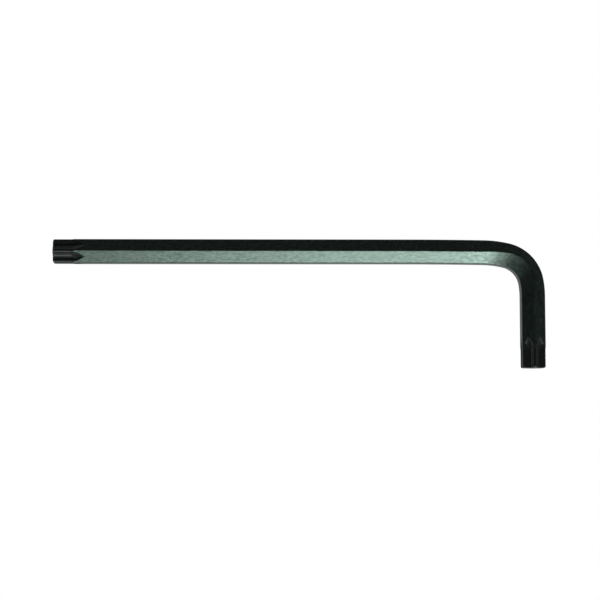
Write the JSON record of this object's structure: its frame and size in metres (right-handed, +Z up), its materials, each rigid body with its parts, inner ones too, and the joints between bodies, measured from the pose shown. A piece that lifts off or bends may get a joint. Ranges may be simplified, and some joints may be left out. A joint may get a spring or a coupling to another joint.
{
  "type": "star key",
  "caption": "L-shaped star key: a black hexagonal steel bar bent to a right angle, with a lobed star drive on the end of each arm for turning star-socket screws.",
  "frame": {"origin": "middle of the key's box, on the surface that it lies on", "axes": "+X along the long arm, from its star tip to the bend; the short arm points to -Y; +Z up, square to the plane of the bend"},
  "size_m": [0.165, 0.0432, 0.0091],
  "materials": {
    "black_oxide_steel": "satin black oxide"
  },
  "bodies": {
    "root": {"long_star_tip": "black_oxide_steel", "long_arm": "black_oxide_steel", "bend": "black_oxide_steel", "short_arm": "black_oxide_steel", "short_star_tip": "black_oxide_steel"}
  },
  "joints": []
}
